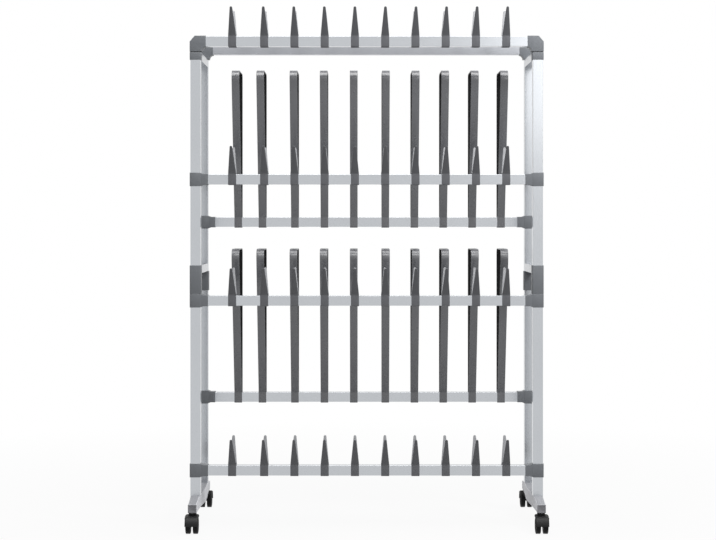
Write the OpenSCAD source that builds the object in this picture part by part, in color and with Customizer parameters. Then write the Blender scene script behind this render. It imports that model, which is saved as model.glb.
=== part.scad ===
// Mobile shoe and boot rack on four castors.
// Millimetres. Origin on the floor at the middle of the rack, X along the rails, -Y the front, +Z up.
// Two square-tube frames, one behind the other, stand on a pair of feet. Short two-pronged shoe holders
// sit on the front rails and tall looped boot holders on the rear rails.

/* [Frame] */
// Width over the outer faces of the posts
rack_w = 1200; // [950:1:1500]
// Distance between the centres of the front and rear posts
frame_d = 300; // [250:1:360]
// Outer width of the square tube
tube_w = 34; // [30:0.5:36]
// Wall of the square tube
tube_wall = 1.6; // [1.2:0.1:2.4]
// Corner radius of the square tube
tube_r = 0.8; // [0.5:0.1:4]
// Height of the depth crossbars' tube
crossbar_h = 28; // [22:0.5:32]

/* [Heights] */
// Centre of the two top rails above the floor
top_rail_z = 1657.2; // [1645:0.1:1800]
// Centre of the upper front rail
front_upper_z = 1187; // [1110:0.1:1300]
// Centre of the middle front rail
front_middle_z = 774.1; // [700:0.1:820]
// Centre of the bottom front rail
front_bottom_z = 196.1; // [175:0.1:240]
// Centre of the upper rear rail
rear_upper_z = 1041.4; // [1020:0.1:1080]
// Centre of the lower rear rail
rear_lower_z = 416.2; // [380:0.1:440]

/* [Connectors] */
// Wall of a connector sleeve around a post
sleeve_wall = 2.5; // [2:0.1:4]
// Wall of a connector arm around a rail
arm_wall = 1.85; // [1.4:0.05:3]
// Height of a T connector's sleeve
t_sleeve_h = 46.3; // [42:0.1:60]
// Length of a T connector's arm past its sleeve
t_arm_l = 23.5; // [18:0.1:40]
// Distance from a T connector's sleeve side in to the start of the slope towards its arm
t_slope_in = 4; // [2:0.1:6]
// Length of that slope
t_slope_l = 11.5; // [6:0.1:16]
// Length of a corner connector's arm past its sleeve
corner_arm_l = 15.7; // [12:0.1:24]
// Width of the slope cut off a corner connector's outer corner
corner_cut_w = 17; // [8:0.5:20]
// Height of that slope
corner_cut_h = 20; // [8:0.5:24]
// Depth of a corner connector below its rail's arm
corner_drop = 15.5; // [12:0.1:24]
// Height of a mid-height side connector
mid_sleeve_h = 97; // [80:1:130]
// Length of the spigot that holds a crossbar
spigot_l = 24; // [15:1:40]
// Corner radius of the connectors
sleeve_r = 3; // [1:0.5:5]

/* [Feet] */
// Length of a foot over its end plugs
foot_l = 548; // [520:1:640]
// Width of a foot at its ends
foot_end_w = 28.6; // [26:0.1:32]
// Extra width of a foot at its middle
foot_bulge_w = 18; // [8:0.5:30]
// Height of a foot at its ends
foot_end_h = 27.5; // [24:0.1:34]
// Height of a foot at its posts
foot_post_h = 41; // [36:0.1:50]
// Rise of a foot's back between its posts
foot_crown = 3; // [0:0.1:8]
// Wall of a foot
foot_wall = 3.2; // [2:0.1:5]
// Height of the spigot that stands in a post
post_spigot_h = 40; // [25:1:60]
// Thickness of an end plug's face
plug_face_t = 2.5; // [1.5:0.1:4]
// Depth of an end plug's body inside the foot
plug_body_l = 7; // [4:0.5:9]

/* [Holders] */
// Width of a shoe holder's strip at the rail
shoe_w = 27.5; // [20:0.5:32]
// Width of a boot holder's strip
boot_w = 27; // [18:0.5:32]
// Thickness of the strip around a rail
clip_t = 2.4; // [1.8:0.1:3]
// Thickness of the hooks that hold a shoe holder under the rail
hook_t = 1.8; // [1.2:0.1:2.4]
// Width of those hooks from the clip's sides inwards
hook_l = 3.5; // [2:0.1:6]
// Thickness of a shoe holder's prong
prong_t = 3.2; // [2.4:0.1:4]
// Distance from a rail's centre forward to the front prong's tip
front_reach = 78; // [45:0.5:90]
// Distance from a rail's centre back to the rear prong's tip
rear_reach = 58; // [45:0.5:80]
// Height of a prong's tip above its rail's centre
prong_h = 112.5; // [80:0.5:140]
// Width of a prong's tip
prong_tip_w = 9; // [5:0.5:14]
// Distance from the post's centre to the first shoe holder
shoe_first = 125; // [90:0.5:200]
// Distance from the first to the second shoe holder
shoe_second_gap = 109; // [100:0.5:160]
// Distance between the other shoe holders
shoe_pitch = 103; // [90:0.5:160]
// Thickness of a boot holder's strip
loop_t = 3; // [2:0.1:4]
// Height of a boot holder above its rail's centre
loop_h = 531.5; // [400:0.5:560]
// Depth of a boot holder at its top
loop_d = 196; // [120:1:230]
// Bend radius of a boot holder's front top corner
loop_front_r = 30; // [15:1:50]
// Bend radius of a boot holder's rear top corner
loop_rear_r = 18; // [15:1:60]

/* [Castors] */
// Height from the floor to the foot's underside
castor_h = 69; // [69:0.5:80]
// Diameter of a wheel
wheel_d = 57; // [50:0.5:57]
// Width of a wheel
wheel_w = 16.5; // [12:0.1:24]
// Width of the web between the two wheels
web_w = 7.5; // [5:0.1:10]
// Distance from the stem's axis back to the axle
trail = 20; // [18:0.5:22]
// Distance from the foot's end to the stem's axis
stem_inset = 20; // [18:0.5:24]
// Distance that a foot's centre line lies outside its posts'
foot_out = 1.2; // [0:0.1:3]
// Diameter of the axle
axle_d = 6; // [5:0.1:8]
// Diameter of the stem where the hood turns on it
pivot_d = 8; // [6:0.1:9]
// Diameter of the stem where it sits in the foot
stem_d = 11; // [9:0.1:12]
// Length of the stem in the foot
stem_l = 20; // [12:0.5:22]
// Wall of the hood over the wheels
hood_wall = 2.1; // [1.6:0.1:3]

/* [Screws] */
// Diameter of a screw's shank
screw_d = 3.5; // [2.5:0.1:4.5]
// Length of a screw
screw_l = 10; // [7:0.5:14]
// Diameter of a screw's countersunk head
screw_head_d = 6.4; // [5:0.1:7]
// Height of a screw's head
screw_head_h = 1.4; // [1:0.1:1.5]
// Depth of a long screw in the plug of a crossbar
long_screw_bite = 14; // [8:0.5:20]

/* [Hidden] */
$fn = 48;
// Sides of the rack
LEFT = -1;
RIGHT = 1;
FRONT = -1;
REAR = 1;
// Clearance of one piece that is pushed over or into another
fit = 0.15;
// Radial clearance of a wheel on its axle and of a hood on its stem
running = 0.05;
// Gap between two moving parts that pass each other
gap = 0.4;
// Overlap that makes a cut run past a face
cut = 1;
// Small steps of the rounded outlines
arc_steps = 8;
foot_steps = 24;
// Colours of the materials
aluminium = [0.74, 0.75, 0.77];
connector_grey = [0.42, 0.43, 0.44];
holder_grey = [0.30, 0.31, 0.32];
foot_grey = [0.66, 0.66, 0.67];
castor_black = [0.16, 0.16, 0.17];
steel = [0.60, 0.60, 0.62];

// Posts
post_x = rack_w / 2 - tube_w / 2;
foot_x = post_x + foot_out;
post_y = frame_d / 2;
bore_w = tube_w + 2 * fit;
bore_r = tube_r + fit;
sleeve_w = tube_w + 2 * sleeve_wall;
arm_w = tube_w + 2 * arm_wall;
inner_w = tube_w - 2 * tube_wall;
foot_base_z = castor_h;
foot_top_z = foot_base_z + foot_post_h;
mid_base_z = front_middle_z + t_sleeve_h / 2;
mid_top_z = mid_base_z + mid_sleeve_h;
mid_stop_z = mid_base_z + mid_sleeve_h / 2;
stop_t = 2;
post_top_z = top_rail_z - tube_w / 2 - sleeve_wall;
// Corner connectors: seam to the side connectors under them
corner_top_z = top_rail_z + arm_w / 2 + fit;
arm_under_z = top_rail_z - arm_w / 2 - fit;
corner_base_z = arm_under_z - corner_drop;
seam = 0.3;
// Rails end inside their connectors
rail_l = 2 * (post_x - sleeve_w / 2 - fit);
top_rail_in = corner_cut_w * (arm_wall / corner_cut_h + 1) - sleeve_w / 2 + sleeve_wall;
top_rail_l = 2 * (post_x - top_rail_in - fit);
// Crossbars
crossbar_front_y = sleeve_w / 2 + fit - post_y;
mid_crossbar_rear_y = -crossbar_front_y;
top_crossbar_rear_y = post_y - tube_w / 2 - fit;
top_crossbar_z = corner_base_z - seam - crossbar_h / 2;
mid_crossbar_z = mid_top_z - crossbar_h / 2;
// Screws that hold the connectors: heights on the front and rear posts
corner_screw_z = corner_base_z + corner_drop / 2;
foot_screw_z = foot_top_z + post_spigot_h / 2;
mid_screw_rise = mid_sleeve_h / 4;
mid_screws = [mid_stop_z - mid_screw_rise, mid_stop_z + mid_screw_rise];
t_screws_front = [front_upper_z, front_middle_z, front_bottom_z];
t_screws_rear = [rear_upper_z, rear_lower_z];
t_screw_x = sleeve_w / 2 + (t_slope_l - t_slope_in + t_arm_l) / 2;
corner_screw_x = sleeve_w / 2 + corner_arm_l / 2;
// Castors
stem_y = foot_l / 2 - stem_inset;
wheel_r = wheel_d / 2;
slot_r = wheel_r + 1.2;
hood_r = slot_r + hood_wall;
hood_w = web_w + 2 * (gap + wheel_w) + 5.6;
hood_edge_r = 4.5;
hood_top_z = castor_h - 6.5;
hood_base_z = wheel_r - 0.5;
hood_round_y = -16;
wheel_x0 = web_w / 2 + gap;
wheel_bore_l = wheel_w - 3.4;
axle_half = web_w / 2 + gap + wheel_bore_l - gap;
flange_t = 2;
flange_d = 21;
collar_d = 27;
collar_top_z = castor_h - flange_t - 0.3;
socket_base_z = wheel_r + sqrt(pow(slot_r, 2) - pow(trail - pivot_d / 2, 2)) + 2;

// Positions of the holders, counted from the left post. Those that the right post leaves no room for go.
holder_end = 2 * post_x - sleeve_w / 2 - t_arm_l - max(shoe_w, boot_w) / 2 - 2;
shoe_steps = [0, for (i = [0:20]) shoe_second_gap + i * shoe_pitch];
shoe_x = [for (s = shoe_steps) if (shoe_first + s < holder_end) shoe_first + s - post_x];
// Gaps from the left post's centre to the first boot holder and on, as they are clipped on by hand
boot_gaps = [125.5, 86.5, 116, 105.5, 105, 112.5, 104, 103, 103.5, 103];
function sum_to(v, n) = n < 0 ? 0 : v[n] + sum_to(v, n - 1);
boot_x = [for (i = [0:len(boot_gaps) - 1]) if (sum_to(boot_gaps, i) < holder_end)
    sum_to(boot_gaps, i) - post_x];

// Outlines

function unit(v) = v / norm(v);
function left_of(v) = [-v[1], v[0]];
function turned(v, a) = [v[0] * cos(a) - v[1] * sin(a), v[0] * sin(a) + v[1] * cos(a)];

// Corner q of a counter-clockwise outline, moved outwards by d from both of its edges
function moved_corner(p, q, r, d) =
    let (n1 = -left_of(unit(q - p)), n2 = -left_of(unit(r - q)))
    q + d * (n1 + n2) / (1 + n1 * n2);

// Points of the arc of radius rad that rounds corner q
function corner_arc(p, q, r, rad) =
    let (u1 = unit(q - p), u2 = unit(r - q),
         side = u1[0] * u2[1] - u1[1] * u2[0] > 0 ? 1 : -1,
         turn = acos(min(1, max(-1, u1 * u2))),
         start = q - u1 * rad * tan(turn / 2),
         centre = start + side * left_of(u1) * rad)
    [for (i = [0:arc_steps]) centre + turned(start - centre, side * turn * i / arc_steps)];

// Closed outline through corners v with bend radii rads, drawn outside (d > 0) or inside (d < 0) its line
function bent_outline(v, rads, d) =
    let (n = len(v), w = [for (i = [0:n - 1]) moved_corner(v[(i + n - 1) % n], v[i], v[(i + 1) % n], d)])
    [for (i = [0:n - 1])
        let (p = w[(i + n - 1) % n], q = w[i], r = w[(i + 1) % n],
             convex = (q - p)[0] * (r - q)[1] - (q - p)[1] * (r - q)[0] > 0)
        each corner_arc(p, q, r, rads[i] + (convex ? d : -d))];

module rounded_rect(w, h, r) {
    square([w - 2 * r, h], center = true);
    square([w, h - 2 * r], center = true);
    for (x = [-1, 1], y = [-1, 1]) translate([x * (w / 2 - r), y * (h / 2 - r)]) circle(r);
}

module tube_section(w, h) {
    difference() {
        rounded_rect(w, h, tube_r);
        square([w - 2 * tube_wall, h - 2 * tube_wall], center = true);
    }
}

// Extrusions along X (outline in Y and Z) and along Y (outline in X and Z)
module along_x(l) { rotate([90, 0, 90]) linear_extrude(l, center = true) children(); }
module along_y(l) { rotate([90, 0, 0]) linear_extrude(l, center = true) children(); }

// Place at a post with +X of the child towards the middle of the rack
module at_post(sx, sy, z) {
    translate([sx * post_x, sy * post_y, z]) mirror([sx > 0 ? 1 : 0, 0, 0]) children();
}

// Screws

// Countersunk screw with the top of its head at the origin, driven along -Z, and its hole
module screw_shape(l, d, head_d) {
    translate([0, 0, -l]) cylinder(d = d, h = l);
    translate([0, 0, -screw_head_h]) cylinder(d1 = d, d2 = head_d, h = screw_head_h);
}
module screw(l) { screw_shape(l, screw_d, screw_head_d); }
module screw_hole(l) {
    screw_shape(l + cut, screw_d + 2 * running, screw_head_d + 2 * running);
    cylinder(d = screw_head_d + 2 * running, h = cut);
}

// Turned to stand on the outer side face of a post that is as wide as w
module on_side(w, z) { translate([-w / 2, 0, z]) rotate([0, -90, 0]) children(); }
// Turned to stand under the arm of a T connector, and on the arm of a corner connector
module under_arm(z) { translate([t_screw_x, 0, z - arm_w / 2]) rotate([180, 0, 0]) children(); }
module on_corner() { translate([corner_screw_x, 0, corner_top_z]) children(); }
// Turned to stand on the back of a rear post
module on_back(z) { translate([0, tube_w / 2, z]) rotate([-90, 0, 0]) children(); }

// Heights of the sleeves' screws on a front or rear post
function sleeve_screws(sy) = concat(mid_screws, [corner_screw_z],
    sy == FRONT ? concat(t_screws_front, [top_crossbar_z]) : t_screws_rear);

module connector_screws() {
    color(steel) for (sx = [LEFT, RIGHT], sy = [FRONT, REAR]) at_post(sx, sy, 0) {
        for (z = sleeve_screws(sy)) on_side(sleeve_w, z) screw(screw_l);
        for (z = sy == FRONT ? t_screws_front : t_screws_rear) under_arm(z) screw(screw_l);
        on_side(tube_w, foot_screw_z) screw(screw_l);
        on_corner() screw(screw_l);
        if (sy == REAR) on_back(top_crossbar_z) screw(tube_w + long_screw_bite);
    }
}

// Posts and rails

module post_holes(sx, sy) {
    at_post(sx, sy, 0) {
        for (z = sleeve_screws(sy)) on_side(sleeve_w, z) screw_hole(screw_l);
        on_side(tube_w, foot_screw_z) screw_hole(screw_l);
        if (sy == REAR) on_back(top_crossbar_z) screw_hole(tube_w + long_screw_bite);
    }
}

module lower_post(sx, sy) {
    color(aluminium) difference() {
        at_post(sx, sy, foot_top_z)
            linear_extrude(mid_stop_z - stop_t / 2 - fit - foot_top_z) tube_section(tube_w, tube_w);
        post_holes(sx, sy);
    }
}

module upper_post(sx, sy) {
    color(aluminium) difference() {
        at_post(sx, sy, mid_stop_z + stop_t / 2 + fit)
            linear_extrude(post_top_z - fit - mid_stop_z - stop_t / 2 - fit) tube_section(tube_w, tube_w);
        post_holes(sx, sy);
    }
}

module rail(sy, z, l) {
    color(aluminium) difference() {
        translate([0, sy * post_y, z]) along_x(l) tube_section(tube_w, tube_w);
        for (sx = [LEFT, RIGHT]) at_post(sx, sy, 0) {
            if (z < top_rail_z) under_arm(z) screw_hole(screw_l);
            else on_corner() screw_hole(screw_l);
        }
    }
}

module crossbar(sx, z, rear_y) {
    l = rear_y - crossbar_front_y;
    color(aluminium) translate([sx * post_x, crossbar_front_y + l / 2, z])
        along_y(l) tube_section(tube_w, crossbar_h);
}

// Connectors

module post_bore(l) { linear_extrude(l) rounded_rect(bore_w, bore_w, bore_r); }

// Plan of a sleeve with one arm towards +X
module sleeve_plan(arm_end) {
    rounded_rect(sleeve_w, sleeve_w, sleeve_r);
    translate([0, -arm_w / 2]) square([arm_end, arm_w]);
}

module t_connector() {
    arm_end = sleeve_w / 2 + t_arm_l;
    slope_x = sleeve_w / 2 - t_slope_in;
    half = t_sleeve_h / 2;
    half_arm = arm_w / 2;
    difference() {
        intersection() {
            along_y(sleeve_w + 2 * cut) polygon([
                [-sleeve_w / 2, -half], [slope_x, -half], [slope_x + t_slope_l, -half_arm],
                [arm_end, -half_arm], [arm_end, half_arm],
                [slope_x + t_slope_l, half_arm], [slope_x, half], [-sleeve_w / 2, half]]);
            translate([0, 0, -half]) linear_extrude(t_sleeve_h) sleeve_plan(arm_end);
        }
        translate([0, 0, -half - cut]) post_bore(t_sleeve_h + 2 * cut);
        translate([sleeve_w / 2 + (t_arm_l + cut) / 2, 0, 0]) along_x(t_arm_l + cut)
            rounded_rect(bore_w, bore_w, bore_r);
        on_side(sleeve_w, 0) screw_hole(screw_l);
        under_arm(0) screw_hole(screw_l);
    }
}

module t_connectors(sy, z) {
    color(connector_grey) for (sx = [LEFT, RIGHT]) at_post(sx, sy, z) t_connector();
}

module corner_connector(sx, sy) {
    arm_end = sleeve_w / 2 + corner_arm_l;
    out = -sleeve_w / 2;
    web_x = sleeve_w / 2 + 2.5;
    web_arc = [for (i = [0:arc_steps]) let (a = 90 * i / arc_steps)
        [arm_end - (arm_end - web_x) * cos(a), corner_base_z + corner_drop * sin(a)]];
    color(connector_grey) at_post(sx, sy, 0) difference() {
        intersection() {
            along_y(sleeve_w + 2 * cut) polygon(concat(
                [[out, corner_base_z]], web_arc,
                [[arm_end, corner_top_z], [out + corner_cut_w, corner_top_z],
                 [out, corner_top_z - corner_cut_h]]));
            translate([0, 0, corner_base_z - cut])
                linear_extrude(corner_top_z - corner_base_z + 2 * cut) sleeve_plan(arm_end);
        }
        translate([0, 0, corner_base_z - cut]) post_bore(post_top_z - corner_base_z + cut);
        translate([(arm_end + cut + top_rail_in) / 2, 0, top_rail_z]) along_x(arm_end + cut - top_rail_in)
            rounded_rect(bore_w, bore_w, bore_r);
        on_side(sleeve_w, corner_screw_z) screw_hole(screw_l);
        on_corner() screw_hole(screw_l);
    }
}

// Block that fills a crossbar's end, l long, with its near face at the origin
module crossbar_block(l) {
    w = inner_w - 2 * fit;
    h = crossbar_h - 2 * tube_wall - 2 * fit;
    translate([-w / 2, 0, -h / 2]) cube([w, l, h]);
}

// Spigot that stands out of a sleeve towards the other frame and carries a crossbar
module crossbar_spigot(sy) {
    translate([0, sy == FRONT ? sleeve_w / 2 - cut : -sleeve_w / 2 - spigot_l, 0])
        crossbar_block(spigot_l + cut);
}

// The top crossbars start at a sleeve on the front post and end flat against the rear post
module side_connectors_top() {
    color(connector_grey) for (sx = [LEFT, RIGHT]) at_post(sx, FRONT, top_crossbar_z) difference() {
        union() {
            translate([0, 0, -crossbar_h / 2]) linear_extrude(crossbar_h)
                rounded_rect(sleeve_w, sleeve_w, sleeve_r);
            crossbar_spigot(FRONT);
        }
        translate([0, 0, -crossbar_h / 2 - cut]) post_bore(crossbar_h + 2 * cut);
        on_side(sleeve_w, 0) screw_hole(screw_l);
    }
}

// Plugs in their rear ends, which the long screws through the rear posts hold
module crossbar_plugs_top() {
    color(connector_grey) for (sx = [LEFT, RIGHT]) difference() {
        translate([sx * post_x, top_crossbar_rear_y - spigot_l, top_crossbar_z]) crossbar_block(spigot_l);
        post_holes(sx, REAR);
    }
}

// The upper and lower post meet in this sleeve, one on each side of its stop
// The inner wall of a rear one ends under the crossbar
module side_connector_mid(sx, sy) {
    base = mid_base_z + seam;
    wall_x = tube_w / 2 - bore_r;
    at_post(sx, sy, 0) difference() {
        union() {
            translate([0, 0, base]) linear_extrude(mid_sleeve_h - seam)
                rounded_rect(sleeve_w, sleeve_w, sleeve_r);
            translate([0, 0, mid_crossbar_z]) crossbar_spigot(sy);
        }
        translate([0, 0, base - cut]) post_bore(mid_stop_z - stop_t / 2 - base + cut);
        translate([0, 0, mid_stop_z + stop_t / 2]) post_bore(mid_top_z - mid_stop_z);
        if (sy == REAR) translate([wall_x, -sleeve_w / 2 - cut, mid_top_z - crossbar_h])
            cube([sleeve_w / 2 - wall_x + cut, sleeve_w + 2 * cut, crossbar_h + cut]);
        for (z = mid_screws) on_side(sleeve_w, z) screw_hole(screw_l);
    }
}

module side_connectors_mid(sy) {
    color(connector_grey) for (sx = [LEFT, RIGHT]) side_connector_mid(sx, sy);
}

// Holders

// Half of a shoe holder's side view: half a clip, open at the bottom, and the prong that it goes on as
module shoe_holder_half(reach) {
    seat = tube_w / 2 + fit;
    out = seat + clip_t;
    top = seat + clip_t;
    tip = [reach, prong_h - prong_t / 2];
    lean = unit(tip - [out, top]);
    inward = prong_t * left_of(lean);
    polygon([
        [seat - hook_l, -seat - hook_t], [out, -seat - hook_t], [out, top], tip, tip + inward,
        [out, top] + inward, [0, top], [0, seat], [seat, seat], [seat, -seat], [seat - hook_l, -seat]]);
}

// Side view of a shoe holder: the clip's two sides go on as prongs that lean apart
module shoe_holder_side() {
    shoe_holder_half(rear_reach);
    mirror([1, 0]) shoe_holder_half(front_reach);
}

// Front view of a shoe holder: as wide as the strip at the rail, narrow and round at the tips
module shoe_holder_front() {
    shoulder = tube_w / 2 + 2.5;
    tip_r = prong_tip_w / 2;
    polygon([
        [-shoe_w / 2, -tube_w], [shoe_w / 2, -tube_w], [shoe_w / 2, shoulder],
        [tip_r, prong_h - tip_r], [-tip_r, prong_h - tip_r], [-shoe_w / 2, shoulder]]);
    translate([0, prong_h - tip_r]) circle(tip_r);
}

module shoe_holder() {
    intersection() {
        along_x(shoe_w + 2 * cut) shoe_holder_side();
        along_y(2 * (max(front_reach, rear_reach) + 2 * prong_t)) shoe_holder_front();
    }
}

module shoe_holders(z) {
    color(holder_grey) for (x = shoe_x) translate([x, FRONT * post_y, z]) shoe_holder();
}

// A boot holder is one strip bent into a tall loop that hangs under the rail and stands over it
module boot_holder() {
    line = tube_w / 2 + fit + loop_t / 2;
    top = loop_h - loop_t / 2;
    corners = [
        [-line, -line], [line, -line], [line, top],
        [line - loop_d + loop_t, top], [-line, tube_w / 2]];
    bends = [loop_t, loop_t, loop_rear_r, loop_front_r, 4 * loop_t];
    along_x(boot_w) difference() {
        polygon(bent_outline(corners, bends, loop_t / 2));
        polygon(bent_outline(corners, bends, -loop_t / 2));
    }
}

module boot_holders(z) {
    color(holder_grey) for (x = boot_x) translate([x, REAR * post_y, z]) boot_holder();
}

// Feet

// Half width of a foot at y: narrow at the ends, wide between the posts
function foot_half(y) = foot_end_w / 2 + foot_bulge_w / 2 * pow(cos(180 * y / foot_l), 3);

module foot_plan(l, inset) {
    polygon(concat(
        [for (i = [0:foot_steps]) let (y = l * (i / foot_steps - 0.5)) [foot_half(y) - inset, y]],
        [for (i = [0:foot_steps]) let (y = l * (0.5 - i / foot_steps)) [inset - foot_half(y), y]]));
}

// Back of a foot above its underside: flat under each post, falling to the ends, a little crowned between
function foot_back(y, l) =
    let (a = abs(y), flat_in = post_y - tube_w / 2, flat_out = post_y + tube_w / 2)
    a < flat_in ? foot_post_h + foot_crown * (1 - pow(a / flat_in, 2)) :
    a < flat_out ? foot_post_h :
    foot_post_h - (foot_post_h - foot_end_h) * (a - flat_out) / (l / 2 - flat_out);

// Side view of a foot in Y and Z
module foot_side(l, drop, base) {
    in_y = post_y - tube_w / 2;
    out_y = post_y + tube_w / 2;
    ys = concat([l / 2], [out_y], [for (i = [0:arc_steps * 2]) in_y * (1 - i / arc_steps)], [-out_y, -l / 2]);
    polygon(concat([[-l / 2, base], [l / 2, base]],
        [for (y = ys) [y, foot_base_z + foot_back(y, foot_l) - drop]]));
}

// Solid blocks inside a foot: under the posts, around the stems, and ribs between
module foot_blocks() {
    rib_t = 4;
    post_block = tube_w + 4;
    stem_block = stem_d + 8;
    w = foot_end_w + foot_bulge_w;
    for (s = [FRONT, REAR]) {
        for (yl = [[s * post_y, post_block], [s * stem_y, stem_block], [s * post_y / 3, rib_t]])
            translate([-w / 2, yl[0] - yl[1] / 2, foot_base_z - cut]) cube([w, yl[1], foot_post_h * 2]);
    }
}

module foot(sx) {
    body_l = foot_l - 2 * plug_face_t;
    spigot_w = inner_w - 2 * fit;
    color(foot_grey) difference() {
        union() {
            translate([sx * foot_x, 0, 0]) intersection() {
                translate([0, 0, foot_base_z]) linear_extrude(2 * foot_post_h) foot_plan(body_l, 0);
                along_x(foot_end_w + 2 * foot_bulge_w) foot_side(body_l, 0, foot_base_z);
            }
            for (sy = [FRONT, REAR]) at_post(sx, sy, foot_top_z - cut)
                translate([-spigot_w / 2, -spigot_w / 2, 0]) cube([spigot_w, spigot_w, post_spigot_h + cut]);
        }
        translate([sx * foot_x, 0, 0]) difference() {
            intersection() {
                translate([0, 0, foot_base_z - cut]) linear_extrude(2 * foot_post_h)
                    foot_plan(body_l + 2 * cut, foot_wall);
                along_x(foot_end_w + 2 * foot_bulge_w)
                    foot_side(body_l - 2 * plug_body_l - 2 * foot_wall, foot_wall, foot_base_z - cut);
            }
            foot_blocks();
        }
        for (sy = [FRONT, REAR]) {
            translate([sx * foot_x, sy * stem_y, foot_base_z - cut])
                cylinder(d = stem_d + 2 * fit, h = stem_l + cut + gap);
            translate([sx * foot_x, sy * (body_l / 2 - (plug_body_l - cut) / 2), foot_base_z + foot_end_h / 2])
                cube([plug_w() + 2 * fit, plug_body_l + cut + fit, plug_h() + 2 * fit], center = true);
            post_holes(sx, sy);
        }
    }
}

function plug_w() = foot_end_w - 2 * foot_wall;
function plug_h() = foot_end_h - 2 * foot_wall;

// Face as large as the foot's end, with a body inside the foot
module foot_end_plug() {
    along_y(plug_face_t) rounded_rect(foot_end_w, foot_end_h, 1.5);
    translate([0, (plug_face_t + plug_body_l) / 2, 0])
        cube([plug_w(), plug_body_l, plug_h()], center = true);
}

module foot_end_plugs() {
    z = foot_base_z + foot_end_h / 2;
    color(connector_grey) for (sx = [LEFT, RIGHT], turn = [0, 180])
        translate([sx * foot_x, 0, 0]) rotate([0, 0, turn])
            translate([0, plug_face_t / 2 - foot_l / 2, z]) foot_end_plug();
}

// Castors

// Stem at the origin, wheels trailing to -Y in front and to +Y at the rear
module at_castor(sx, sy) {
    translate([sx * foot_x, sy * stem_y, 0]) rotate([0, 0, sy == FRONT ? 0 : 180]) children();
}

module castor_stem() {
    translate([0, 0, socket_base_z + gap]) cylinder(d = pivot_d, h = castor_h - socket_base_z - gap);
    translate([0, 0, castor_h - flange_t]) cylinder(d = flange_d, h = flange_t);
    translate([0, 0, castor_h - flange_t]) cylinder(d = stem_d, h = stem_l + flange_t);
}

module castor_stems() {
    color(steel) for (sx = [LEFT, RIGHT], sy = [FRONT, REAR]) at_castor(sx, sy) castor_stem();
}

// Along the axle, which lies behind the stem
module at_axle() { translate([0, -trail, wheel_r]) rotate([0, 90, 0]) children(); }

// Drum with rounded edges over the wheels
module hood_drum() {
    r = hood_r - hood_edge_r;
    w = hood_w / 2 - hood_edge_r;
    at_axle() rotate_extrude() {
        translate([0, -w]) square([hood_r, 2 * w]);
        translate([0, -hood_w / 2]) square([r, hood_w]);
        for (s = [-1, 1]) translate([r, s * w]) circle(hood_edge_r);
    }
}

// Side view of the block around the stem, flat on top and running down into the drum
module hood_block_side() {
    polygon([
        [-trail - hood_r * cos(50), wheel_r + hood_r * sin(50)], [-trail, wheel_r],
        [collar_d / 2, wheel_r + 14], [collar_d / 2, hood_top_z], [-trail + 8, hood_top_z]]);
}

// Its front view, with rounded upper edges
module hood_block_front() {
    w = hood_w / 2 - hood_edge_r;
    h = hood_top_z - hood_edge_r;
    translate([-hood_w / 2, 0]) square([hood_w, h]);
    translate([-w, 0]) square([2 * w, hood_top_z]);
    for (s = [-1, 1]) translate([s * w, h]) circle(hood_edge_r);
}

// Its plan: as wide as the drum behind, round towards the stem
module hood_block_plan() {
    translate([-hood_w / 2, hood_round_y - 2 * hood_r]) square([hood_w, 2 * hood_r]);
    translate([0, hood_round_y]) circle(d = hood_w);
}

module castor_hood(sx, sy) {
    color(castor_black) at_castor(sx, sy) difference() {
        union() {
            difference() {
                hood_drum();
                translate([-hood_w, -trail - 2 * hood_r, hood_base_z - 2 * hood_r])
                    cube([2 * hood_w, 4 * hood_r, 2 * hood_r]);
                translate([-hood_w, hood_round_y, 0]) cube([2 * hood_w, 2 * hood_r, 2 * hood_top_z]);
            }
            intersection() {
                along_x(hood_w) hood_block_side();
                along_y(4 * hood_r) hood_block_front();
                linear_extrude(hood_top_z) hood_block_plan();
            }
            at_axle() cylinder(d = axle_d + 4, h = web_w, center = true);
            translate([0, 0, wheel_r + 14]) cylinder(d = pivot_d + 8, h = hood_top_z - wheel_r - 14);
            translate([0, 0, hood_top_z - 2 * hood_edge_r])
                cylinder(d = collar_d, h = collar_top_z - hood_top_z + 2 * hood_edge_r);
        }
        for (s = [-1, 1]) translate([s * (web_w / 2 + hood_w / 2), 0, 0]) at_axle()
            cylinder(r = slot_r, h = hood_w, center = true);
        translate([0, 0, socket_base_z]) cylinder(d = pivot_d + 2 * running, h = castor_h);
        at_axle() cylinder(d = axle_d, h = 2 * web_w, center = true);
    }
}

module castor_axle(sx, sy) {
    color(steel) at_castor(sx, sy) at_axle() cylinder(d = axle_d, h = 2 * axle_half, center = true);
}

// Half section of a wheel: axle bore from the inner face, tread with round shoulders, dished outer face
module wheel_section() {
    shoulder = 3;
    bore = axle_d / 2 + running;
    dish = 2.5;
    difference() {
        union() {
            square([wheel_r - shoulder, wheel_w]);
            translate([0, shoulder]) square([wheel_r, wheel_w - 2 * shoulder]);
            for (z = [shoulder, wheel_w - shoulder]) translate([wheel_r - shoulder, z]) circle(shoulder);
        }
        translate([0, -cut]) square([bore, wheel_bore_l + cut]);
        translate([axle_d, wheel_w - dish]) square([wheel_r * 0.72 - axle_d, dish + cut]);
    }
}

// out is 1 for the wheel on the outer side of the rack
module wheel(sx, sy, out) {
    side = sx * out * (sy == FRONT ? 1 : -1);
    color(castor_black) at_castor(sx, sy) translate([side * wheel_x0, -trail, wheel_r])
        rotate([0, side * 90, 0]) rotate_extrude() wheel_section();
}

// Pieces

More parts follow.
